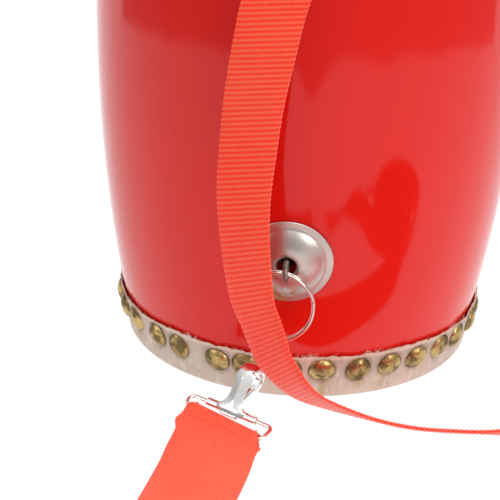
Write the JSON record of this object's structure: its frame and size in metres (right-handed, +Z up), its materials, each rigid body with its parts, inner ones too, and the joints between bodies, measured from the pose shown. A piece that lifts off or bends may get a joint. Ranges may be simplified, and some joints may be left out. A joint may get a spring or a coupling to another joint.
{
  "type": "waist drum",
  "caption": "Barrel-shaped waist drum with two tacked hide heads, two split-pin fittings with split rings, and a webbing strap on snap hooks.",
  "frame": {"origin": "centre of the lower head's flat underside, where the drum stands", "axes": "+Z up through the shell's middle to the upper head; -Y towards the strap fittings"},
  "size_m": [0.2955, 0.3208, 0.34],
  "materials": {
    "red_lacquer": "high gloss lacquer",
    "rawhide": "smooth dry",
    "brass": "tarnished polish",
    "nickel": "bright plating",
    "steel": "satin",
    "red_webbing": "woven"
  },
  "bodies": {
    "drum": {"stave_01": "red_lacquer", "stave_02": "red_lacquer", "stave_03": "red_lacquer", "stave_04": "red_lacquer", "stave_05": "red_lacquer", "stave_06": "red_lacquer", "stave_07": "red_lacquer", "stave_08": "red_lacquer", "stave_09": "red_lacquer", "stave_10": "red_lacquer", "stave_11": "red_lacquer", "stave_12": "red_lacquer", "lower_head": "rawhide", "lower_tacks": "brass", "lower_plate": "nickel", "lower_pin": "steel", "lower_washer": "steel", "lower_loop": "nickel", "upper_head": "rawhide", "upper_tacks": "brass", "upper_plate": "nickel", "upper_pin": "steel", "upper_washer": "steel", "upper_hook": "nickel", "upper_loop": "nickel", "narrow_webbing": "red_webbing", "narrow_webbing_coil": "red_webbing", "narrow_webbing_tail": "red_webbing", "wide_webbing": "red_webbing", "joining_buckle": "nickel"},
    "lower_ring_body": {"lower_ring": "nickel"},
    "upper_ring_body": {"upper_ring": "nickel"},
    "lower_hook_body": {"lower_hook": "nickel"},
    "lower_gate_body": {"lower_gate": "steel"},
    "upper_gate_body": {"upper_gate": "steel"}
  },
  "joints": [
    {"name": "lower_ring_swing", "type": "hinge", "parent": "drum", "child": "lower_ring_body", "pos_m": [0, -0.09504, 0.06551], "axis": [0, 1, 0], "range_deg": [-48, 22]},
    {"name": "upper_ring_turn", "type": "hinge", "parent": "drum", "child": "upper_ring_body", "pos_m": [0, -0.09675, 0.25748], "axis": [0, -0.9936, 0.1132], "continuous": true},
    {"name": "lower_hook_pivot", "type": "hinge", "parent": "drum", "child": "lower_hook_body", "pos_m": [-0.0189, -0.1022, 0.0052], "axis": [0.8606, -0.5084, -0.03], "range_deg": [0, 90]},
    {"name": "lower_gate_hinge", "type": "hinge", "parent": "lower_hook_body", "child": "lower_gate_body", "pos_m": [-0.01735, -0.09974, 0.00801], "axis": [0.8606, -0.5084, -0.03], "range_deg": [0, 20], "stiffness_Nm_per_rad": 0.0005, "springref_deg": -8.59},
    {"name": "upper_gate_hinge", "type": "hinge", "parent": "drum", "child": "upper_gate_body", "pos_m": [0, -0.10226, 0.22818], "axis": [1, 0, 0], "range_deg": [0, 20], "stiffness_Nm_per_rad": 0.0005, "springref_deg": -8.59}
  ]
}
